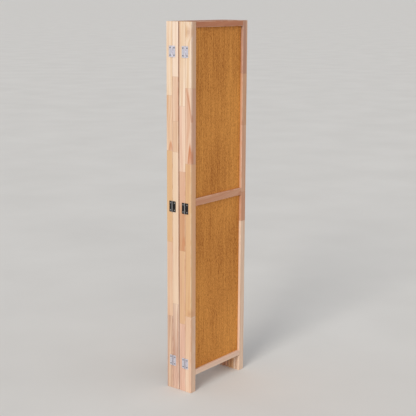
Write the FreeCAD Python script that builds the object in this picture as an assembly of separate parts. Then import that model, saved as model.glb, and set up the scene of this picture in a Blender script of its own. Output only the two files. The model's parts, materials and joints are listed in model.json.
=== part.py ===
import FreeCAD, Part
import os

# Folding room divider screen: four framed panels on three lines of butt hinges, folded shut.
#
# Millimetres. X runs along a panel's width, Y through the stack from the front panel (-Y) to the
# rear one (+Y), and Z up from the floor. The origin is the middle of the stack, on the floor.
# Panel 1 is the rear one and panel 4 the front one. Panels 1-2 and 3-4 are hinged on their left
# edges (-X), panels 2-3 on their right edges (+X), so the screen opens in a zigzag.

# Driving dimensions of a panel
PANEL_WIDTH = 406.0
PANEL_HEIGHT = 1700.0
PANEL_DEPTH = 34.0
STILE_FACE = 34.0
TOP_RAIL_FACE = 25.0
MIDDLE_RAIL_FACE = 33.0
BOTTOM_RAIL_FACE = 25.0
MIDDLE_RAIL_UNDERSIDE = 886.0
LEG_HEIGHT = 80.0
EDGE_ROUNDING = 2.0

# Gaps of the folded stack
HINGED_SEAM = 1.0
MIDDLE_GAP = 5.0

# Infill boards and the groove that holds them
INFILL_THICKNESS = 12.0
GROOVE_WIDTH = 12.2
GROOVE_DEPTH = 8.0
INFILL_TONGUE = 7.0
RAIL_TONGUE = 7.5

# Dowels, two in each joint of a rail and a stile
DOWEL_RADIUS = 3.0
DOWEL_LENGTH = 30.0
DOWEL_CLEARANCE = 0.05
DOWEL_END_ROOM = 0.5
DOWEL_OFFSET = 11.5

# Butt hinges: two-inch, five knuckles, two screws in each leaf
HINGE_LENGTH = 50.0
LEAF_REACH = 18.5
LEAF_THICKNESS = 1.2
LEAF_CORNER = 1.5
KNUCKLE_RADIUS = 2.6
KNUCKLE_COUNT = 5
KNUCKLE_GAP = 0.2
LEAF_CUT_BACK = 3.2
PIN_RADIUS = 1.35
PIN_CLEARANCE = 0.05
PIN_HEAD_RADIUS = 2.1
PIN_HEAD_THICKNESS = 0.7
HINGE_HEIGHTS = {"bottom": 138.0, "middle": 875.0, "top": 1570.0}

# Countersunk wood screws with a cross recess
SCREW_HEAD_RADIUS = 3.1
SCREW_SHANK_RADIUS = 1.7
SCREW_LENGTH = 16.0
SCREW_TIP = 4.0
SCREW_SINK = 0.05
SCREW_CLEARANCE = 0.05
SCREW_REACH = 11.5
SCREW_SPACING = 33.0
RECESS_WIDTH = 0.8
RECESS_SPAN = 3.8
RECESS_DEPTH = 1.0

# Places that follow from the driving dimensions
HALF_WIDTH = PANEL_WIDTH / 2
RAIL_LENGTH = PANEL_WIDTH - 2 * STILE_FACE
TOP_RAIL_UNDERSIDE = PANEL_HEIGHT - TOP_RAIL_FACE
RAILS = {
    "top": (TOP_RAIL_UNDERSIDE, TOP_RAIL_FACE),
    "middle": (MIDDLE_RAIL_UNDERSIDE, MIDDLE_RAIL_FACE),
    "bottom": (LEG_HEIGHT, BOTTOM_RAIL_FACE),
}
INFILLS = {
    "upper": (MIDDLE_RAIL_UNDERSIDE + MIDDLE_RAIL_FACE, TOP_RAIL_UNDERSIDE),
    "lower": (LEG_HEIGHT + BOTTOM_RAIL_FACE, MIDDLE_RAIL_UNDERSIDE),
}
INNER_PANEL_Y = MIDDLE_GAP / 2 + PANEL_DEPTH / 2
OUTER_PANEL_Y = INNER_PANEL_Y + PANEL_DEPTH + HINGED_SEAM
PANEL_Y = {1: OUTER_PANEL_Y, 2: INNER_PANEL_Y, 3: -INNER_PANEL_Y, 4: -OUTER_PANEL_Y}
SEAM_Y = (INNER_PANEL_Y + OUTER_PANEL_Y) / 2

LEFT = -1
RIGHT = 1
# Rear panel, front panel, side of the stack that the hinges are on, and Y of the seam they bridge
HINGE_LINES = [
    (1, 2, LEFT, SEAM_Y),
    (2, 3, RIGHT, 0.0),
    (3, 4, LEFT, -SEAM_Y),
]

Z_AXIS = FreeCAD.Vector(0, 0, 1)
X_AXIS = FreeCAD.Vector(1, 0, 0)


def block(x_from, x_to, y_from, y_to, z_from, z_to):
    """A box between two limits along each axis."""
    corner = FreeCAD.Vector(x_from, y_from, z_from)
    return Part.makeBox(x_to - x_from, y_to - y_from, z_to - z_from, corner)


def runs_along(edge, axis):
    """True if a straight edge is parallel to the axis."""
    direction = edge.tangentAt(edge.FirstParameter)
    return abs(abs(direction.dot(axis)) - 1) < 1e-6


def save(shape, node):
    """Writes one sub-part as a STEP file named after its node."""
    shape.exportStep("parts/" + node + ".step")


# Timber


def dowel_points(rail_underside, rail_face):
    """Y offset and height of each dowel in the joint of a rail and a stile."""
    height = rail_underside + rail_face / 2
    return [(-DOWEL_OFFSET, height), (DOWEL_OFFSET, height)]


def dowel(joint_x, y, z, radius, length):
    """A dowel, or with more room its hole, centred on the joint between rail and stile."""
    start = FreeCAD.Vector(joint_x - length / 2, y, z)
    return Part.makeCylinder(radius, length, start, X_AXIS)


def dowels_of_side(side, panel_y, radius, length):
    """The dowels, or holes, between all rails and the stile on one side of a panel."""
    joint_x = side * RAIL_LENGTH / 2
    found = []
    for underside, face in RAILS.values():
        for offset, height in dowel_points(underside, face):
            found.append(dowel(joint_x, panel_y + offset, height, radius, length))
    return found


def dowel_holes(side, panel_y):
    """The dowel holes on one side of a panel, with room round the dowels and past their ends."""
    radius = DOWEL_RADIUS + DOWEL_CLEARANCE
    return dowels_of_side(side, panel_y, radius, DOWEL_LENGTH + 2 * DOWEL_END_ROOM)


def stile(side, panel_y, screw_holes):
    """A full-height upright, grooved on its inner side from end to end."""
    outer_x = side * HALF_WIDTH
    inner_x = side * RAIL_LENGTH / 2
    low_x = min(outer_x, inner_x)
    high_x = max(outer_x, inner_x)
    front = panel_y - PANEL_DEPTH / 2
    bar = block(low_x, high_x, front, front + PANEL_DEPTH, 0, PANEL_HEIGHT)
    bar = bar.makeFillet(EDGE_ROUNDING, bar.Edges)
    groove_x = inner_x + side * GROOVE_DEPTH
    half_groove = GROOVE_WIDTH / 2
    groove = block(
        min(inner_x, groove_x),
        max(inner_x, groove_x),
        panel_y - half_groove,
        panel_y + half_groove,
        0,
        PANEL_HEIGHT,
    )
    return bar.cut([groove] + dowel_holes(side, panel_y) + screw_holes)


def rail(name, panel_y):
    """A crosspiece, tongued into the stiles' grooves, and grooved where an infill board meets it."""
    underside, face = RAILS[name]
    top = underside + face
    half_length = RAIL_LENGTH / 2
    front = panel_y - PANEL_DEPTH / 2
    bar = block(-half_length, half_length, front, front + PANEL_DEPTH, underside, top)
    long_edges = [edge for edge in bar.Edges if runs_along(edge, X_AXIS)]
    bar = bar.makeFillet(EDGE_ROUNDING, long_edges)
    tongue_tip = half_length + RAIL_TONGUE
    tongue_front = panel_y - INFILL_THICKNESS / 2
    tongue_rear = tongue_front + INFILL_THICKNESS
    bar = bar.fuse(block(-tongue_tip, tongue_tip, tongue_front, tongue_rear, underside, top))
    half_groove = GROOVE_WIDTH / 2
    grooves = []
    for lower, upper in INFILLS.values():
        if abs(lower - top) < 1e-6:
            grooves.append((top - GROOVE_DEPTH, top))
        if abs(upper - underside) < 1e-6:
            grooves.append((underside, underside + GROOVE_DEPTH))
    cuts = []
    for low_z, high_z in grooves:
        front_y = panel_y - half_groove
        cuts.append(block(-tongue_tip, tongue_tip, front_y, front_y + GROOVE_WIDTH, low_z, high_z))
    cuts += dowel_holes(LEFT, panel_y) + dowel_holes(RIGHT, panel_y)
    return bar.cut(cuts).removeSplitter()


def infill(name, panel_y):
    """A board whose edges sit in the grooves of the frame round it."""
    lower, upper = INFILLS[name]
    half_width = RAIL_LENGTH / 2 + INFILL_TONGUE
    front = panel_y - INFILL_THICKNESS / 2
    low_z = lower - INFILL_TONGUE
    high_z = upper + INFILL_TONGUE
    return block(-half_width, half_width, front, front + INFILL_THICKNESS, low_z, high_z)


# Hinges. Each is built at the origin, with its leaves' backs on the plane X = 0, its knuckle on the
# +X side of that plane, its pin along Z and one leaf each way along Y. It is then turned to face
# the side of the stack that it is on, and moved to its height on the seam.


def knuckle_span(index):
    """Lower and upper end of one knuckle, counted from the bottom."""
    pitch = HINGE_LENGTH / KNUCKLE_COUNT
    start = -HINGE_LENGTH / 2 + index * pitch
    return start + KNUCKLE_GAP / 2, start + pitch - KNUCKLE_GAP / 2


def screw_shape(grow):
    """A countersunk screw pointing along -X at the origin, or its hole when grown."""
    head_x = LEAF_THICKNESS - SCREW_SINK
    head_radius = SCREW_HEAD_RADIUS + grow
    shank_radius = SCREW_SHANK_RADIUS + grow
    neck_x = head_x - (head_radius - shank_radius)
    tip_x = head_x - SCREW_LENGTH - grow
    outline = [
        (head_x, 0),
        (head_x, head_radius),
        (neck_x, shank_radius),
        (tip_x + SCREW_TIP, shank_radius),
        (tip_x, 0),
    ]
    points = [FreeCAD.Vector(x, 0, radius) for x, radius in outline]
    face = Part.Face(Part.makePolygon(points + points[:1]))
    return face.revolve(FreeCAD.Vector(0, 0, 0), X_AXIS, 360)


def screw():
    """A wood screw with a cross recess in its head."""
    head_x = LEAF_THICKNESS - SCREW_SINK
    half_width = RECESS_WIDTH / 2
    half_span = RECESS_SPAN / 2
    low_x = head_x - RECESS_DEPTH
    upright = block(low_x, head_x, -half_width, half_width, -half_span, half_span)
    level = block(low_x, head_x, -half_span, half_span, -half_width, half_width)
    return screw_shape(0).cut([upright, level])


def screw_hole():
    """The hole that a screw leaves in a leaf and in the wood behind it."""
    mouth = Part.makeCylinder(SCREW_HEAD_RADIUS + SCREW_CLEARANCE, LEAF_THICKNESS)
    mouth.rotate(FreeCAD.Vector(0, 0, 0), FreeCAD.Vector(0, 1, 0), 90)
    mouth.translate(FreeCAD.Vector(LEAF_THICKNESS - SCREW_SINK, 0, 0))
    return screw_shape(SCREW_CLEARANCE).fuse(mouth)


def at_screws(shape, direction):
    """Copies of a shape at both screws of the leaf that reaches along +Y (1) or -Y (-1)."""
    copies = []
    for height in (-SCREW_SPACING / 2, SCREW_SPACING / 2):
        copy = shape.copy()
        copy.translate(FreeCAD.Vector(0, direction * SCREW_REACH, height))
        copies.append(copy)
    return copies


def leaf(direction):
    """A hinge leaf that reaches along +Y (1) with the odd knuckles, or -Y (-1) with the even."""
    half_length = HINGE_LENGTH / 2
    far = direction * LEAF_REACH
    plate = block(0, LEAF_THICKNESS, min(0, far), max(0, far), -half_length, half_length)
    corners = []
    for edge in plate.Edges:
        if runs_along(edge, X_AXIS) and abs(edge.CenterOfMass.y - far) < 1e-6:
            corners.append(edge)
    plate = plate.makeFillet(LEAF_CORNER, corners)
    axis_point = FreeCAD.Vector(KNUCKLE_RADIUS, 0, 0)
    bore_radius = PIN_RADIUS + PIN_CLEARANCE
    first_own = 0 if direction > 0 else 1
    for index in range(KNUCKLE_COUNT):
        low, high = knuckle_span(index)
        base = axis_point + FreeCAD.Vector(0, 0, low)
        if index % 2 == first_own:
            plate = plate.fuse(Part.makeCylinder(KNUCKLE_RADIUS, high - low, base, Z_AXIS))
    bore = Part.makeCylinder(bore_radius, HINGE_LENGTH, axis_point - Z_AXIS * half_length, Z_AXIS)
    cuts = [bore] + at_screws(screw_hole(), direction)
    edge_y = direction * LEAF_CUT_BACK
    pitch = HINGE_LENGTH / KNUCKLE_COUNT
    for index in range(KNUCKLE_COUNT):
        if index % 2 == first_own:
            continue
        low = -half_length + index * pitch
        low_z = low - KNUCKLE_GAP / 2
        high_z = low + pitch + KNUCKLE_GAP / 2
        cuts.append(block(0, LEAF_THICKNESS, min(0, edge_y), max(0, edge_y), low_z, high_z))
    return plate.cut(cuts).removeSplitter()


def pin():
    """The hinge's pin, with a flat peened head past each end of the knuckles."""
    half_length = HINGE_LENGTH / 2
    foot = FreeCAD.Vector(KNUCKLE_RADIUS, 0, -half_length)
    shaft = Part.makeCylinder(PIN_RADIUS, HINGE_LENGTH, foot, Z_AXIS)
    lower = Part.makeCylinder(PIN_HEAD_RADIUS, PIN_HEAD_THICKNESS, foot, -Z_AXIS)
    top = foot + Z_AXIS * HINGE_LENGTH
    upper = Part.makeCylinder(PIN_HEAD_RADIUS, PIN_HEAD_THICKNESS, top, Z_AXIS)
    return shaft.fuse([lower, upper]).removeSplitter()


def on_stack(shape, side, seam_y, height):
    """A copy of a hinge part, turned to the side of the stack that it is on and put in place."""
    copy = shape.copy()
    turn = 0 if side == RIGHT else 180
    copy.rotate(FreeCAD.Vector(0, 0, 0), Z_AXIS, turn)
    copy.translate(FreeCAD.Vector(side * HALF_WIDTH, seam_y, height))
    return copy


def leaf_direction(panel, line):
    """Which way, in the hinge's own frame, the leaf on this panel reaches."""
    rear, front, side, seam_y = line
    towards = 1 if panel == rear else -1
    return towards * side


def screws_of(shape, panel):
    """Copies of a screw, or its hole, at every screw of a panel, listed by side of the stack."""
    found = {LEFT: [], RIGHT: []}
    for line in HINGE_LINES:
        rear, front, side, seam_y = line
        if panel not in (rear, front):
            continue
        for height in HINGE_HEIGHTS.values():
            for copy in at_screws(shape, leaf_direction(panel, line)):
                found[side].append(on_stack(copy, side, seam_y, height))
    return found


def make_panel(panel):
    """Writes the frame, infill boards, dowels and hinge screws of one panel."""
    panel_y = PANEL_Y[panel]
    prefix = "panel_" + str(panel) + "_"
    holes = screws_of(screw_hole(), panel)
    screws = screws_of(screw(), panel)
    save(stile(LEFT, panel_y, holes[LEFT]), prefix + "left_stile")
    save(stile(RIGHT, panel_y, holes[RIGHT]), prefix + "right_stile")
    for name in RAILS:
        save(rail(name, panel_y), prefix + name + "_rail")
    for name in INFILLS:
        save(infill(name, panel_y), prefix + name + "_infill")
    dowels = []
    for side in (LEFT, RIGHT):
        dowels += dowels_of_side(side, panel_y, DOWEL_RADIUS, DOWEL_LENGTH)
    save(Part.makeCompound(dowels), prefix + "dowels")
    save(Part.makeCompound(screws[LEFT] + screws[RIGHT]), prefix + "hinge_screws")


def make_hinge_line(line):
    """Writes the leaves of the three hinges between two panels, and their pins as one group."""
    rear, front, side, seam_y = line
    line_name = "hinge_" + str(rear) + "_" + str(front) + "_"
    for place, height in HINGE_HEIGHTS.items():
        for panel in (rear, front):
            shape = on_stack(leaf(leaf_direction(panel, line)), side, seam_y, height)
            save(shape, line_name + place + "_leaf_" + str(panel))
    pins = [on_stack(pin(), side, seam_y, height) for height in HINGE_HEIGHTS.values()]
    save(Part.makeCompound(pins), line_name + "pins")


for number in PANEL_Y:
    make_panel(number)
for hinge_line in HINGE_LINES:
    make_hinge_line(hinge_line)
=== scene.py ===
from collections import namedtuple
import json
import math
import bpy
from mathutils import Matrix, Vector


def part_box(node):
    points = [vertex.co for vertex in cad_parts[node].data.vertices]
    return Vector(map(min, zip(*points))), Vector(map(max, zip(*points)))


# A folding wooden screen of four hinged panels, folded shut, on a pale studio floor.
# Metres, in the part's own frame: X along a panel's width, Y from the front panel to the rear one,
# Z up. Every shape is the frame's own. This script gives each piece its material, and adds the
# studio and the camera.

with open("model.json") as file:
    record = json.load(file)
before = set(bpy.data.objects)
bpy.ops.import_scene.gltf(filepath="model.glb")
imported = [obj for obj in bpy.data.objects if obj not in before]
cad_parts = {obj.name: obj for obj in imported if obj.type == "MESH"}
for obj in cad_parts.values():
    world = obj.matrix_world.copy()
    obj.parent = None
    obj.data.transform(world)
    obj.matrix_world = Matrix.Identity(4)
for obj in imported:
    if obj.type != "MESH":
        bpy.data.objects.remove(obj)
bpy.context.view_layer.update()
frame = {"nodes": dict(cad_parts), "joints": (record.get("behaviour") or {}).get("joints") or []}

X, Y, Z = 0, 1, 2

# The colours of the materials, 0 to 255
TINTS = {
    "ivory": (236, 217, 200),
    "cream": (228, 203, 180),
    "pale": (219, 190, 162),
    "straw": (214, 179, 138),
    "peach": (207, 162, 122),
    "salmon": (206, 160, 131),
    "blush": (222, 184, 163),
    "rose": (198, 156, 136),
    "clay": (188, 140, 118),
    "brick": (188, 129, 98),
    "russet": (172, 110, 82),
    "rust": (190, 116, 74),
    "apricot": (218, 166, 132),
    "plum": (170, 126, 110),
    "umber": (142, 86, 62),
    "glue": (150, 106, 76),
    "honey": (230, 160, 79),
    "toffee": (135, 67, 12),
}


def linear(tint):
    """A named tint as the linear colour that a shader takes."""
    found = []
    for level in TINTS[tint]:
        share = level / 255
        found.append(share / 12.92 if share <= 0.04045 else ((share + 0.055) / 1.055) ** 2.4)
    return (*found, 1.0)


# A layer of noise: cycles per metre across and along the grain, a shift that keeps layers apart,
# and the noise's detail and roughness. Where low and high are given, the noise is stretched so
# that they become 0 and 1
Layer = namedtuple(
    "Layer", "wide long shift detail roughness low high", defaults=(0.0, 2.0, 0.5, None, None)
)


class Graph:
    """Short-hand for building the nodes of one material."""

    def __init__(self, name):
        self.material = bpy.data.materials.new(name)
        self.material.use_nodes = True
        self.tree = self.material.node_tree
        self.tree.nodes.clear()
        place = self.tree.nodes.new("ShaderNodeTexCoord")
        self.position = place.outputs["Object"]
        self.normal = place.outputs["Normal"]

    def feed(self, socket, value):
        """Links a socket to another node's output, or sets it to a number or colour."""
        if isinstance(value, bpy.types.NodeSocket):
            self.tree.links.new(value, socket)
        else:
            socket.default_value = value

    def math(self, operation, *values, clamp=False):
        node = self.tree.nodes.new("ShaderNodeMath")
        node.operation = operation
        node.use_clamp = clamp
        for socket, value in zip(node.inputs, values):
            self.feed(socket, value)
        return node.outputs[0]

    def add(self, first, second):
        return self.math("ADD", first, second)

    def times(self, first, second):
        return self.math("MULTIPLY", first, second)

    def total(self, *values):
        result = values[0]
        for value in values[1:]:
            result = self.add(result, value)
        return result

    def weighted(self, *pairs):
        """The sum of (value, weight) pairs."""
        return self.total(*(self.times(value, weight) for value, weight in pairs))

    def vector(self, operation, *values):
        node = self.tree.nodes.new("ShaderNodeVectorMath")
        node.operation = operation
        for socket, value in zip(node.inputs, values):
            self.feed(socket, value)
        return node.outputs["Value" if operation in ("LENGTH", "DOT_PRODUCT") else "Vector"]

    def scaled(self, scale):
        return self.vector("MULTIPLY", self.position, (scale, scale, scale))

    def join(self, x, y, z):
        node = self.tree.nodes.new("ShaderNodeCombineXYZ")
        for socket, value in zip(node.inputs, (x, y, z)):
            self.feed(socket, value)
        return node.outputs[0]

    def split(self, vector):
        node = self.tree.nodes.new("ShaderNodeSeparateXYZ")
        self.feed(node.inputs[0], vector)
        return list(node.outputs)

    def noise(self, vector, detail=2.0, roughness=0.5):
        """Noise at one cycle per unit of the vector, from 0 to 1."""
        node = self.tree.nodes.new("ShaderNodeTexNoise")
        self.feed(node.inputs["Vector"], vector)
        node.inputs["Scale"].default_value = 1.0
        node.inputs["Detail"].default_value = detail
        node.inputs["Roughness"].default_value = roughness
        return node.outputs["Fac"]

    def layer(self, spot, layer):
        """One layer of noise, at a position that is already scaled for it."""
        value = self.noise(spot, layer.detail, layer.roughness)
        if layer.low is None:
            return value
        return self.smooth(value, layer.low, layer.high)

    def dice(self, number):
        """Three random numbers from 0 to 1 that depend on one number."""
        node = self.tree.nodes.new("ShaderNodeTexWhiteNoise")
        node.noise_dimensions = "1D"
        self.feed(node.inputs["W"], number)
        return self.split(node.outputs["Color"])

    def smooth(self, value, low, high, out_low=0.0, out_high=1.0):
        """A smooth step of a value from one output to another."""
        node = self.tree.nodes.new("ShaderNodeMapRange")
        node.interpolation_type = "SMOOTHSTEP"
        for socket, item in zip(node.inputs, (value, low, high, out_low, out_high)):
            self.feed(socket, item)
        return node.outputs[0]

    def ramp(self, factor, stops, steps=False):
        """A colour ramp through (place, colour) stops."""
        node = self.tree.nodes.new("ShaderNodeValToRGB")
        node.color_ramp.interpolation = "CONSTANT" if steps else "LINEAR"
        elements = node.color_ramp.elements
        while len(elements) > 1:
            elements.remove(elements[-1])
        elements[0].position, elements[0].color = stops[0]
        for place, colour in stops[1:]:
            elements.new(place).color = colour
        self.feed(node.inputs[0], factor)
        return node.outputs[0]

    def mix(self, factor, first, second, blend="MIX"):
        node = self.tree.nodes.new("ShaderNodeMix")
        node.data_type = "RGBA"
        node.blend_type = blend
        self.feed(node.inputs[0], factor)
        self.feed(node.inputs[6], first)
        self.feed(node.inputs[7], second)
        return node.outputs[2]

    def finish(self, colour, roughness, height=None, depth=0.0, metallic=0.0, specular=0.5):
        """The surface itself. Height is in units of depth, in metres."""
        shader = self.tree.nodes.new("ShaderNodeBsdfPrincipled")
        self.feed(shader.inputs["Base Color"], colour)
        self.feed(shader.inputs["Roughness"], roughness)
        self.feed(shader.inputs["Metallic"], metallic)
        shader.inputs["Specular IOR Level"].default_value = specular
        if height is not None:
            bump = self.tree.nodes.new("ShaderNodeBump")
            bump.inputs["Distance"].default_value = depth
            self.feed(bump.inputs["Height"], height)
            self.tree.links.new(bump.outputs[0], shader.inputs["Normal"])
        output = self.tree.nodes.new("ShaderNodeOutputMaterial")
        self.tree.links.new(shader.outputs[0], output.inputs["Surface"])
        return self.material


# Timber

# The fingers in which two boards of one length meet
FINGER_PITCH = 0.008
FINGER_DEPTH = 0.005
GLUE_LINE = 0.0004

# Growth rings: how wide, and how far beside and behind a board their centre, the pith, may lie
RING_WIDTH = 0.0062
PITH_ASIDE = 0.14
PITH_NEAREST = 0.025
PITH_RANGE = 0.07

# How far apart the noise of two boards is
BOARD_SHIFT = 9.0

# Layers of noise in the timber
WANDER = Layer(9.0, 2.6)
RIPPLE = Layer(60.0, 9.0, 3.0)
CLOUDS = Layer(16.0, 3.4, 11.0, low=0.28, high=0.72)
STREAKS = Layer(420.0, 3.0, 7.0, 3.0, 0.6, 0.3, 0.7)
FLUSH = Layer(110.0, 2.4, 37.0, low=0.52, high=0.74)
FIBRES = Layer(1400.0, 22.0, 17.0, roughness=0.6)
PORES = Layer(1900.0, 90.0, 23.0, detail=1.0, low=0.66, high=0.8)
# Noise of the paler edges: wear, and a painted highlight on the arrises
WEAR_AND_HIGHLIGHT = Layer(40.0, 30.0, 31.0, 3.0, low=0.36, high=0.6)
MOTTLE = Layer(500.0, 500.0)

# How far in from an edge its wear and painted highlight start to fade, and where they end
WEAR_AND_HIGHLIGHT_INNER = 0.0006
WEAR_AND_HIGHLIGHT_OUTER = 0.0028

TIMBER_RELIEF = 0.00022
WOOD_GLOSS = 0.12

# One board of a finger-jointed length: how far along it ends, its two main tints, the tint that it
# turns to towards the inside of the frame, and how far its grain drifts sideways per metre
Board = namedtuple("Board", "end light dark inner lean", defaults=(0.03,))

# Where the last board of a length ends, which is past the end of any piece
OPEN_END = 2.0

# A place where the rings come out at the face. An arch widens downwards from its tip as a cathedral
# of grain does, and a streak keeps its width. Offset and reach are across the stack, and lean is
# how far the foot lies off the tip. A foot above its tip is a streak that fades out downwards
Flame = namedtuple("Flame", "tip foot offset reach lean arch tint share")

FLAME_DEPTH = 0.024
FLAME_EDGE = 0.35
FLAME_WAVER = 0.012

# A knot: its centre, and its half sizes along X, Y and Z
Knot = namedtuple("Knot", "centre size")

KNOT_SWELL = 2.5


def finger_joints(graph, along, across, joints):
    """The board's number, counted from the low end, and 1 on the glue lines between boards.

    Boards meet in interlocking fingers, so the joint is a zigzag across one pair of faces and
    a straight line on the other pair."""
    slope = 2 * FINGER_DEPTH / FINGER_PITCH
    zigzag = graph.times(graph.math("PINGPONG", across, FINGER_PITCH / 2), slope)
    level = graph.add(along, zigzag)
    number = 0.0
    nearest = 1.0
    for joint in joints:
        number = graph.add(graph.math("GREATER_THAN", level, joint), number)
        gap = graph.math("ABSOLUTE", graph.add(level, -joint))
        nearest = graph.math("MINIMUM", gap, nearest)
    return number, graph.smooth(nearest, GLUE_LINE, 2 * GLUE_LINE, 1.0, 0.0)


def knot_at(graph, knot):
    """Distance from a knot, where 1 is its rim."""
    offset = graph.vector("SUBTRACT", graph.position, knot.centre)
    return graph.vector("LENGTH", graph.vector("DIVIDE", offset, knot.size))


def flame_at(graph, height, across, from_face, wander, flame):
    """How strongly a flame shows at a place, from 0 to 1."""
    fall = graph.times(graph.add(height, -flame.tip), -1 / (flame.tip - flame.foot))
    leant = graph.times(fall, -flame.lean)
    aside = graph.total(across, -flame.offset, leant, graph.times(wander, FLAME_WAVER))
    aside = graph.times(aside, 1 / flame.reach)
    if flame.arch:
        inside = graph.add(fall, graph.times(graph.times(aside, aside), -1.0))
        core = graph.smooth(inside, 0.4, 1.0, 1.0, 0.55)
        body = graph.times(graph.smooth(inside, 0.0, FLAME_EDGE), core)
    else:
        body = graph.smooth(graph.math("ABSOLUTE", aside), FLAME_EDGE, 1.0, 1.0, 0.0)
        body = graph.times(body, graph.smooth(fall, 0.0, 0.3))
    cut = graph.smooth(fall, 0.99, 1.01, 1.0, 0.0)
    return graph.times(graph.times(body, cut), graph.smooth(from_face, 0.0, FLAME_DEPTH, 1.0, 0.0))


class Timber:
    """The material of one length of finger-jointed wood, with its grain along one axis.

    boards run from the low end, and knots are Knots. inward is 1 or -1 where the inside of the
    frame lies that way across the grain."""

    def __init__(self, name, node, along, boards, seed, knots, inward):
        low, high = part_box(node)
        middle = (low + high) / 2
        across = Z if along == X else X
        self.graph = graph = Graph(name)
        self.boards = boards
        self.inward = inward
        self.width = high[across] - low[across]
        self.thickness = high[Y] - low[Y]
        place = graph.split(graph.position)
        self.length = place[along]
        self.side = graph.add(place[across], -middle[across])
        self.depth = graph.add(place[Y], -middle[Y])
        facing = graph.split(graph.normal)
        self.end_facing = graph.math("ABSOLUTE", facing[along])
        self.front_facing = facing[Y]

        joints = [board.end for board in boards[:-1]]
        self.number, self.glue = finger_joints(graph, self.length, self.side, joints)
        self.dice = graph.dice(graph.add(self.number, float(seed)))
        self.shift = graph.join(*(graph.times(throw, BOARD_SHIFT) for throw in self.dice))
        self.wander = graph.add(self.layer(WANDER), -0.5)
        self.fibres = self.layer(FIBRES)
        self.pores = self.layer(PORES)
        self.from_knots = [knot_at(graph, knot) for knot in knots]
        turns = self.turns()
        phase = graph.math("FRACT", turns)
        fading = graph.smooth(phase, 0.9, 1.0, 1.0, 0.0)
        self.late_wood = graph.times(graph.smooth(phase, 0.2, 0.86), fading)
        self.shade = self.shade_from(turns)

    def layer(self, layer):
        """A layer of noise, drawn out along the grain and different in each board."""
        graph = self.graph
        scaled = graph.join(
            graph.times(self.side, layer.wide),
            graph.times(self.depth, layer.wide),
            graph.times(self.length, layer.long),
        )
        spot = graph.vector("ADD", graph.vector("ADD", scaled, self.shift), (layer.shift, 0.0, 0.0))
        return graph.layer(spot, layer)

    def per_board(self, colours):
        """One colour for each board, as a ramp of flat steps."""
        count = len(self.boards)
        share = self.graph.times(self.graph.add(self.number, 0.5), 1 / count)
        stops = [(index / count, colour) for index, colour in enumerate(colours)]
        return self.graph.ramp(share, stops, True)

    def turns(self):
        """How many rings lie between a place and the pith, which wanders along the board.

        The rings swell round a knot."""
        graph = self.graph
        ripple = graph.add(self.layer(RIPPLE), -0.5)
        leans = self.per_board([(board.lean, 0.0, 0.0, 1.0) for board in self.boards])
        lean = graph.split(leans)[0]
        drift = graph.times(graph.math("PINGPONG", graph.add(self.length, self.dice[2]), 0.5), lean)
        pith_side = graph.times(graph.add(self.dice[0], -0.5), PITH_ASIDE)
        pith_depth = graph.add(graph.times(self.dice[1], PITH_RANGE), PITH_NEAREST)
        from_pith = graph.join(
            graph.total(self.side, pith_side, drift, graph.times(self.wander, 0.05)),
            graph.total(self.depth, pith_depth, drift, graph.times(self.wander, 0.04)),
            0.0,
        )
        radius = graph.vector("LENGTH", from_pith)
        turns = graph.weighted((radius, 1 / RING_WIDTH), (ripple, 0.9))
        for away in self.from_knots:
            turns = graph.add(turns, graph.smooth(away, 0.9, 4.0, KNOT_SWELL, 0.0))
        return turns

    def shade_from(self, turns):
        """How far the wood is from a board's light tint to its dark one.

        Broad bands of heartwood follow the rings, and fine streaks and fibres follow the grain."""
        graph = self.graph
        band_spot = graph.join(
            graph.times(turns, 0.42),
            graph.times(self.length, 0.9),
            graph.times(self.dice[1], 40.0),
        )
        bands = graph.smooth(graph.noise(band_spot, 2.0, 0.6), 0.33, 0.67)
        shade = graph.weighted(
            (bands, 0.56),
            (self.late_wood, 0.16),
            (self.layer(CLOUDS), 0.22),
            (self.layer(STREAKS), 0.16),
            (graph.add(self.fibres, -0.5), 0.5),
            (self.pores, 0.2),
        )
        return graph.math("ADD", shade, -0.08, clamp=True)

    def body_colour(self):
        """The boards' own colours, and the glue between them."""
        graph = self.graph
        light = self.per_board([linear(board.light) for board in self.boards])
        dark = self.per_board([linear(board.dark) for board in self.boards])
        inner = self.per_board([linear(board.inner) for board in self.boards])
        colour = graph.mix(self.shade, light, dark)
        colour = graph.mix(graph.times(self.layer(FLUSH), 0.34), colour, linear("brick"))
        if self.inward:
            aside = graph.times(self.side, self.inward / self.width)
            within = graph.total(aside, 0.5, graph.times(self.wander, 0.5))
            within = graph.smooth(within, 0.04, 0.42, 0.0, 0.72)
            colour = graph.mix(within, colour, graph.mix(graph.times(self.shade, 0.6), inner, dark))
        return graph.mix(graph.times(self.glue, 0.35), colour, linear("glue"))

    def with_knots(self, colour):
        """The colour with a mottled core and a brown rim at each knot."""
        graph = self.graph
        cores = 0.0
        rims = 0.0
        for away in self.from_knots:
            core = graph.smooth(away, 0.7, 1.0, 1.0, 0.0)
            rim = graph.times(graph.smooth(away, 0.8, 1.0), graph.smooth(away, 1.05, 2.6, 1.0, 0.0))
            cores = graph.math("MAXIMUM", core, cores)
            rims = graph.math("MAXIMUM", rim, rims)
        mottle = graph.mix(self.layer(MOTTLE), linear("umber"), linear("brick"))
        colour = graph.mix(graph.times(rims, 0.2), colour, linear("brick"))
        return graph.mix(graph.times(cores, 0.3), colour, mottle)

    def with_gap_shading(self, colour, front):
        """The colour with painted shade on the front face, where it looks into the middle gap: one tint near
        the floor, the other above.
        """
        graph = self.graph
        share = graph.smooth(self.front_facing, -0.9, -0.5, 0.7, 0.0)
        tone = graph.mix(graph.smooth(self.length, 0.3, 0.6), linear(front[0]), linear(front[1]))
        return graph.mix(share, colour, tone)

    def with_flames(self, colour, flames):
        """The colour with flames that start at the outer edge."""
        graph = self.graph
        from_face = graph.add(graph.times(self.side, float(self.inward)), self.width / 2)
        for flame in flames:
            strength = flame_at(graph, self.length, self.depth, from_face, self.wander, flame)
            colour = graph.mix(graph.times(strength, flame.share), colour, linear(flame.tint))
        return colour

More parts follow.
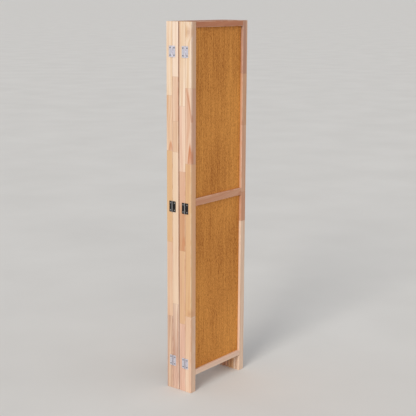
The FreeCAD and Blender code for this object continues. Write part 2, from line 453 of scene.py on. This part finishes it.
    def soaked(self, colour):
        """The colour with darker end grain, which drinks in more varnish."""
        dark = self.graph.mix(1.0, colour, linear("straw"), "MULTIPLY")
        return self.graph.mix(self.graph.smooth(self.end_facing, 0.7, 0.95, 0.0, 0.6), colour, dark)

    def rubbed_and_highlit(self):
        """Where the rounded edges are rubbed paler, partly wear and partly a painted highlight, from 0 to 1.
        """
        graph = self.graph
        past_side = graph.times(graph.math("ABSOLUTE", self.side), -1.0)
        past_depth = graph.times(graph.math("ABSOLUTE", self.depth), -1.0)
        inset_side = graph.add(self.width / 2, past_side)
        inset_depth = graph.add(self.thickness / 2, past_depth)
        inset = graph.math("MAXIMUM", inset_side, inset_depth)
        return graph.times(graph.smooth(inset, WEAR_AND_HIGHLIGHT_INNER, WEAR_AND_HIGHLIGHT_OUTER, 1.0, 0.0), self.layer(WEAR_AND_HIGHLIGHT))


def timber(name, node, along, boards, seed, knots=(), flames=(), inward=0, front=()):
    """Finger-jointed wood. front is the painted shade of its front face where that face looks into the middle
    gap, low and high.
    """
    wood = Timber(name, node, along, boards, seed, knots, inward)
    graph = wood.graph
    colour = wood.body_colour()
    if knots:
        colour = wood.with_knots(colour)
    # Painted shade on a front face that looks into the middle gap
    if front:
        colour = wood.with_gap_shading(colour, front)
    if flames:
        colour = wood.with_flames(colour, flames)
    rubbed_and_highlit = wood.rubbed_and_highlit()
    # The rounded edges turn towards ivory: wear, and a painted highlight on the arrises
    colour = graph.mix(graph.times(rubbed_and_highlit, 0.4), wood.soaked(colour), linear("ivory"))
    polish = graph.weighted((wood.fibres, 0.16), (wood.late_wood, -0.06), (rubbed_and_highlit, 0.08))
    height = graph.weighted(
        (wood.fibres, 0.5),
        (wood.late_wood, 0.3),
        (wood.glue, -0.6),
        (wood.pores, -0.5),
    )
    return graph.finish(colour, graph.add(0.5, polish), height, TIMBER_RELIEF, specular=WOOD_GLOSS)


# Veneer

VENEER_BANDS = Layer(5.0, 2.4, low=0.3, high=0.7)
VENEER_STREAKS = Layer(190.0, 4.0, 3.0, 3.0, 0.6, 0.3, 0.7)
VENEER_FLECKS = Layer(460.0, 130.0, 5.0, roughness=0.6, low=0.36, high=0.66)
VENEER_DASHES = Layer(240.0, 38.0, 21.0, roughness=0.6, low=0.56, high=0.7)
VENEER_PORES = Layer(900.0, 130.0, 9.0, detail=1.0, low=0.6, high=0.78)
VENEER_FIBRES = Layer(1500.0, 30.0, 13.0, roughness=0.6)

# Cycles per metre through the board, from its front veneer to its rear one
VENEER_THROUGH = 4.0

VENEER_RELIEF = 0.0002


def veneer(name, node, seed):
    """A board faced with honey-coloured veneer, its grain upright and full of short flecks."""
    low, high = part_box(node)
    graph = Graph(name)
    x, y, z = graph.split(graph.position)
    x = graph.add(x, -low[X])
    z = graph.add(z, -high[Z])

    def at(layer):
        through = graph.add(graph.times(y, VENEER_THROUGH), seed + layer.shift)
        return graph.layer(graph.join(graph.times(x, layer.wide), through, graph.times(z, layer.long)), layer)

    flecks = at(VENEER_FLECKS)
    pores = at(VENEER_PORES)
    fibres = at(VENEER_FIBRES)
    shade = graph.weighted(
        (at(VENEER_BANDS), 0.21),
        (at(VENEER_STREAKS), 0.26),
        (flecks, 0.40),
        (at(VENEER_DASHES), 0.28),
        (pores, 0.14),
        (graph.add(fibres, -0.5), 0.25),
    )
    shade = graph.math("ADD", shade, -0.02, clamp=True)
    colour = graph.mix(shade, linear("honey"), linear("toffee"))
    roughness = graph.add(0.5, graph.weighted((fibres, 0.2), (pores, 0.1)))
    height = graph.weighted((fibres, 0.4), (flecks, -0.4), (pores, -0.6))
    return graph.finish(colour, roughness, height, VENEER_RELIEF, specular=WOOD_GLOSS)


# Metal

ZINC_DULL = (0.70, 0.68, 0.75, 1)
ZINC_BRIGHT = (0.88, 0.86, 0.93, 1)
ZINC_BRUSHING = (1500.0, 3000.0, 60.0)
# Painted shade for the creases beside the zinc hinges' knuckles
CREASE_SHADE_COLOUR = (0.16, 0.15, 0.17, 1)
LACQUER = (0.012, 0.010, 0.010, 1)
WORN_STEEL = (0.34, 0.34, 0.35, 1)
# The darker screws are painted shade: dark spots at the corners of the zinc hinges
SCREW_DARK = (0.12, 0.115, 0.13, 1)
SCREW_BRIGHT = (0.50, 0.49, 0.48, 1)
SCREW_GRAIN = (0.2, 0.19, 0.18, 1)
PIN_DARK = (0.36, 0.36, 0.38, 1)
PIN_BRIGHT = (0.56, 0.56, 0.58, 1)

# How far from the pin line the painted shade beside the knuckles starts to fade, and the knuckles' wear
CREASE_REACH = 0.0016
KNUCKLE_WEAR = (0.0016, 0.0034)

# How dark the painted shade in the creases of the zinc hinges is
CREASE_SHADE_BY_ROW = {"bottom": 0.55, "top": 0.2}

# The depth of each metal's relief
ZINC_RELIEF = 0.00005
LACQUER_RELIEF = 0.00006
SCREW_RELIEF = 0.00004
PIN_RELIEF = 0.00003


def off_pin(graph, node):
    """Distance across a hinge's leaf from the line of its pin."""
    joint = next(joint for joint in frame["joints"] if node.startswith(joint["name"]))
    y = graph.split(graph.position)[Y]
    return graph.math("ABSOLUTE", graph.add(y, -joint["pos_m"][Y]))


def zinc(name, node, crease_shade_strength):
    """Bright zinc plate, lightly spangled, with painted shade in the creases beside the knuckles."""
    graph = Graph(name)
    brushed = graph.noise(graph.vector("MULTIPLY", graph.position, ZINC_BRUSHING), 2.0)
    spangle = graph.noise(graph.scaled(260.0), 2.0)
    colour = graph.ramp(spangle, [(0.3, ZINC_DULL), (0.7, ZINC_BRIGHT)])
    # Painted shade darkens the leaf along the pin line
    crease_shade = graph.smooth(off_pin(graph, node), CREASE_REACH, 2 * CREASE_REACH, 1.0, 0.0)
    colour = graph.mix(graph.times(crease_shade, crease_shade_strength), colour, CREASE_SHADE_COLOUR)
    roughness = graph.add(0.42, graph.weighted((brushed, 0.16), (spangle, 0.08)))
    height = graph.add(brushed, graph.times(spangle, 0.5))
    return graph.finish(colour, roughness, height, ZINC_RELIEF, metallic=1.0)


def black_steel(name, node):
    """Black lacquered steel, worn to grey metal on the knuckles."""
    graph = Graph(name)
    patches = graph.noise(graph.scaled(420.0), 3.0)
    reach = graph.add(off_pin(graph, node), graph.times(patches, 0.001))
    worn = graph.smooth(reach, *KNUCKLE_WEAR, 1.0, 0.0)
    colour = graph.mix(worn, LACQUER, WORN_STEEL)
    roughness = graph.add(0.42, graph.times(patches, 0.2))
    metallic = graph.times(worn, 0.9)
    return graph.finish(colour, roughness, patches, LACQUER_RELIEF, metallic=metallic, specular=0.25)


def screw_steel(name, bright_low, bright_high):
    """Steel screws: bright ones between two heights, and darker ones above and below, whose darkness is
    painted shade at the zinc hinges' corners.
    """
    graph = Graph(name)
    height = graph.split(graph.position)[Z]
    above = graph.math("GREATER_THAN", height, bright_low)
    below = graph.math("LESS_THAN", height, bright_high)
    grain = graph.noise(graph.scaled(900.0), 2.0)
    colour = graph.mix(graph.times(above, below), SCREW_DARK, SCREW_BRIGHT)
    colour = graph.mix(graph.times(grain, 0.3), colour, SCREW_GRAIN)
    roughness = graph.add(0.28, graph.times(grain, 0.2))
    return graph.finish(colour, roughness, grain, SCREW_RELIEF, metallic=1.0)


def pin_steel(name):
    """Plain steel pins, turned smooth."""
    graph = Graph(name)
    grain = graph.noise(graph.scaled(1200.0), 2.0)
    colour = graph.mix(grain, PIN_DARK, PIN_BRIGHT)
    roughness = graph.add(0.25, graph.times(grain, 0.2))
    return graph.finish(colour, roughness, grain, PIN_RELIEF, metallic=1.0)


# The pieces

# Boards of each stile, from the floor up
STILE_BOARDS = {
    "panel_4_left_stile": [
        Board(0.372, "cream", "salmon", "cream"),
        Board(1.08, "straw", "peach", "apricot"),
        Board(1.415, "cream", "salmon", "clay", 0.05),
        Board(OPEN_END, "ivory", "straw", "clay"),
    ],
    "panel_3_left_stile": [
        Board(0.33, "blush", "rose", "rose"),
        Board(0.677, "straw", "salmon", "peach"),
        Board(1.042, "straw", "brick", "salmon"),
        Board(1.335, "cream", "blush", "pale"),
        Board(OPEN_END, "ivory", "straw", "pale", 0.05),
    ],
    "panel_2_left_stile": [
        Board(0.418, "cream", "plum", "rose"),
        Board(1.127, "cream", "pale", "pale", 0.01),
        Board(1.265, "pale", "salmon", "salmon", 0.04),
        Board(1.462, "cream", "salmon", "blush", 0.03),
        Board(OPEN_END, "ivory", "cream", "cream"),
    ],
    "panel_1_left_stile": [
        Board(0.355, "pale", "plum", "salmon"),
        Board(0.71, "pale", "salmon", "peach"),
        Board(1.13, "straw", "peach", "peach"),
        Board(1.378, "cream", "peach", "straw", 0.05),
        Board(OPEN_END, "ivory", "straw", "cream"),
    ],
    "panel_4_right_stile": [
        Board(0.76, "cream", "salmon", "cream"),
        Board(0.90, "salmon", "brick", "salmon"),
        Board(1.22, "pale", "brick", "salmon"),
        Board(1.46, "straw", "russet", "salmon"),
        Board(OPEN_END, "pale", "brick", "plum"),
    ],
    "panel_3_right_stile": [
        Board(0.41, "straw", "peach", "peach"),
        Board(0.83, "cream", "rose", "salmon"),
        Board(1.29, "straw", "brick", "peach"),
        Board(OPEN_END, "cream", "salmon", "pale"),
    ],
    "panel_2_right_stile": [
        Board(0.28, "pale", "brick", "salmon", 0.05),
        Board(0.71, "ivory", "straw", "pale"),
        Board(1.12, "pale", "plum", "rose"),
        Board(OPEN_END, "straw", "peach", "salmon"),
    ],
    "panel_1_right_stile": [
        Board(0.37, "cream", "rose", "salmon"),
        Board(0.92, "straw", "peach", "peach", 0.05),
        Board(1.33, "cream", "plum", "salmon"),
        Board(OPEN_END, "ivory", "straw", "pale"),
    ],
}

# Flames on the stiles' outer edges
FLAMES = {
    "panel_4_left_stile": [
        Flame(1.42, 1.265, 0.007, 0.0055, -0.024, False, "brick", 0.65),
        Flame(1.185, 1.08, -0.0085, 0.0150, 0.0, True, "rust", 0.85),
        Flame(0.11, 0.372, 0.0, 0.04, 0.0, False, "peach", 0.35),
    ],
    "panel_3_left_stile": [
        Flame(0.755, 0.677, -0.009, 0.015, 0.0, True, "rust", 0.3),
        Flame(0.85, 1.042, 0.0, 0.04, 0.0, False, "blush", 0.5),
        Flame(1.335, 1.72, 0.0165, 0.009, 0.0, False, "rust", 0.25),
    ],
    "panel_2_left_stile": [
        Flame(0.17, -0.02, 0.0, 0.04, 0.0, False, "blush", 0.35),
    ],
    "panel_1_left_stile": [
        Flame(1.182, 1.13, -0.0075, 0.014, 0.0, True, "rust", 0.6),
    ],
    "panel_2_right_stile": [
        Flame(1.12, 1.02, 0.004, 0.012, 0.0, True, "rust", 0.4),
    ],
    "panel_1_right_stile": [
        Flame(0.92, 0.80, -0.003, 0.012, 0.0, True, "rust", 0.35),
    ],
}

# Painted shade on a stile's front face where it looks into the middle gap between panels: a tint near the
# floor and one above, in place of its boards' colour
GAP_FACE_SHADING = {"panel_2_left_stile": ("ivory", "russet")}

# Knots on the stiles' outer edges: offset across the stack, height, half width and half height
KNOTS = {
    "panel_4_left_stile": [(-0.010, 0.384, 0.008, 0.009), (0.0, 1.655, 0.012, 0.012)],
    "panel_3_right_stile": [(-0.005, 0.62, 0.006, 0.012)],
    "panel_2_right_stile": [(0.004, 1.41, 0.005, 0.009)],
}

# How far a knot runs in from the outer edge
KNOT_DEPTH = 0.014

# Tints of the rails, light and dark
RAIL_TINTS = {"top": ("brick", "russet"), "middle": ("salmon", "brick"), "bottom": ("cream", "blush")}

# Each piece has a seed of its own, so that no two are alike
STILE_SEED = 11.0
STILE_SEED_STEP = 7
RAIL_SEED = 101.0
RAIL_SEED_STEPS = (13, 3)
DOWEL_SEED = 201.0
VENEER_SEED_STEP = 5.0

PANELS = (1, 2, 3, 4)


def dress(node, material):
    """Gives a node's piece one material, in place of what it came with."""
    materials = frame["nodes"][node].data.materials
    materials.clear()
    materials.append(material)


def knots_of(node):
    """The knots of a stile, each running in from the outer edge."""
    low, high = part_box(node)
    outer = low[X] if "left" in node else high[X]
    middle = (low[Y] + high[Y]) / 2
    found = []
    for offset, height, wide, tall in KNOTS.get(node, ()):
        found.append(Knot((outer, middle + offset, height), (KNOT_DEPTH, wide, tall)))
    return found


def dress_stiles():
    for index, (node, boards) in enumerate(STILE_BOARDS.items()):
        inward = 1 if "left" in node else -1
        seed = STILE_SEED + STILE_SEED_STEP * index
        flames = FLAMES.get(node, ())
        # The painted shade of a front face that looks into the middle gap
        front = GAP_FACE_SHADING.get(node, ())
        dress(node, timber(node + "_wood", node, Z, boards, seed, knots_of(node), flames, inward, front))


def dress_rails(panel):
    panel_step, rail_step = RAIL_SEED_STEPS
    for index, (rail, (light, dark)) in enumerate(RAIL_TINTS.items()):
        node = f"panel_{panel}_{rail}_rail"
        seed = RAIL_SEED + panel_step * panel + rail_step * index
        dress(node, timber(node + "_wood", node, X, [Board(OPEN_END, light, dark, dark)], seed))


def dress_infills(panel):
    for index, board in enumerate(("upper", "lower")):
        node = f"panel_{panel}_{board}_infill"
        dress(node, veneer(node + "_veneer", node, VENEER_SEED_STEP * panel + index))


def dress_dowels(panel):
    node = f"panel_{panel}_dowels"
    boards = [Board(OPEN_END, "straw", "peach", "peach")]
    dress(node, timber(node + "_wood", node, X, boards, DOWEL_SEED))


def dress_hinges():
    """Leaves, screws and pins: the middle hinges are black with bright screws, the others zinc."""
    middle_low, middle_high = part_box("hinge_1_2_middle_leaf_1")
    screws = screw_steel("hinge_screws", middle_low[Z], middle_high[Z])
    pins = pin_steel("hinge_pins")
    for node in frame["nodes"]:
        if "_middle_leaf_" in node:
            dress(node, black_steel(node + "_black", node))
        elif "_leaf_" in node:
            dress(node, zinc(node + "_zinc", node, CREASE_SHADE_BY_ROW["bottom" if "_bottom_" in node else "top"]))
        elif node.endswith("screws"):
            dress(node, screws)
        elif node.endswith("pins"):
            dress(node, pins)


# Studio

FLOOR_RADIUS = 1000.0
FLOOR_DARK = (0.76, 0.74, 0.71, 1)
FLOOR_PALE = (0.80, 0.78, 0.75, 1)

SURROUNDINGS_COLOUR = (0.93, 0.955, 1.0)
SURROUNDINGS_STRENGTH = 0.49

# A distant soft lamp. Bearing is degrees from the panels' hinged left edge towards their front,
# height is degrees above the floor, and spread is the lamp's own width in degrees
Sun = namedtuple("Sun", "name bearing height strength colour spread")

SUNS = [
    Sun("key", 12, 25, 1.88, (1.0, 0.97, 0.91), 24),
    Sun("front", 46, 12, 0.52, (1.0, 0.98, 0.97), 40),
    Sun("right", 140, 20, 0.22, (1.0, 0.97, 0.95), 40),
]

# The camera stands left of the stack and in front of it, a little above its top
CAMERA_FROM_CORNER = Vector((-3.272, -2.7193, 1.8069))
CAMERA_HEADING = math.radians(38.71)
CAMERA_PITCH = math.radians(12.25)
CAMERA_ROLL = math.radians(0.28)
CAMERA_LENS = 84.41


def floor():
    """A wide pale floor, a little uneven in tone."""
    bpy.ops.mesh.primitive_circle_add(vertices=96, radius=FLOOR_RADIUS, fill_type="NGON")
    disc = bpy.context.object
    disc.name = "floor"
    graph = Graph("floor_paint")
    tone = graph.noise(graph.scaled(1.4), 3.0)
    colour = graph.ramp(tone, [(0.3, FLOOR_DARK), (0.7, FLOOR_PALE)])
    disc.data.materials.append(graph.finish(colour, 0.8, specular=0.1))


def soft_sun(sun):
    data = bpy.data.lights.new(sun.name, "SUN")
    data.energy = sun.strength
    data.color = sun.colour
    data.angle = math.radians(sun.spread)
    lamp = bpy.data.objects.new(sun.name, data)
    bpy.context.scene.collection.objects.link(lamp)
    across, up = math.radians(sun.bearing), math.radians(sun.height)
    level = math.cos(up)
    towards = Vector((-math.cos(across) * level, -math.sin(across) * level, math.sin(up)))
    lamp.rotation_euler = towards.to_track_quat("Z", "Y").to_euler()


def surroundings():
    """Even light from all round."""
    world = bpy.data.worlds.new("studio")
    world.use_nodes = True
    background = world.node_tree.nodes["Background"]
    background.inputs["Color"].default_value = (*SURROUNDINGS_COLOUR, 1)
    background.inputs["Strength"].default_value = SURROUNDINGS_STRENGTH
    bpy.context.scene.world = world


def camera():
    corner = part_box("panel_4_left_stile")[0]
    level = math.cos(CAMERA_PITCH)
    forward = Vector((
        math.cos(CAMERA_HEADING) * level,
        math.sin(CAMERA_HEADING) * level,
        -math.sin(CAMERA_PITCH),
    ))
    right = Vector((math.sin(CAMERA_HEADING), -math.cos(CAMERA_HEADING), 0.0))
    up = right.cross(forward)
    rolled_right = right * math.cos(CAMERA_ROLL) + up * math.sin(CAMERA_ROLL)
    rolled_up = up * math.cos(CAMERA_ROLL) - right * math.sin(CAMERA_ROLL)
    turn = Matrix((rolled_right, rolled_up, -forward)).transposed().to_4x4()
    data = bpy.data.cameras.new("camera")
    data.lens = CAMERA_LENS
    eye = bpy.data.objects.new("camera", data)
    bpy.context.scene.collection.objects.link(eye)
    eye.matrix_world = Matrix.Translation(corner + CAMERA_FROM_CORNER) @ turn
    bpy.context.scene.camera = eye


dress_stiles()
for panel in PANELS:
    dress_rails(panel)
    dress_infills(panel)
    dress_dowels(panel)
dress_hinges()

floor()
surroundings()
for sun in SUNS:
    soft_sun(sun)
bpy.context.scene.view_settings.view_transform = "Standard"
camera()
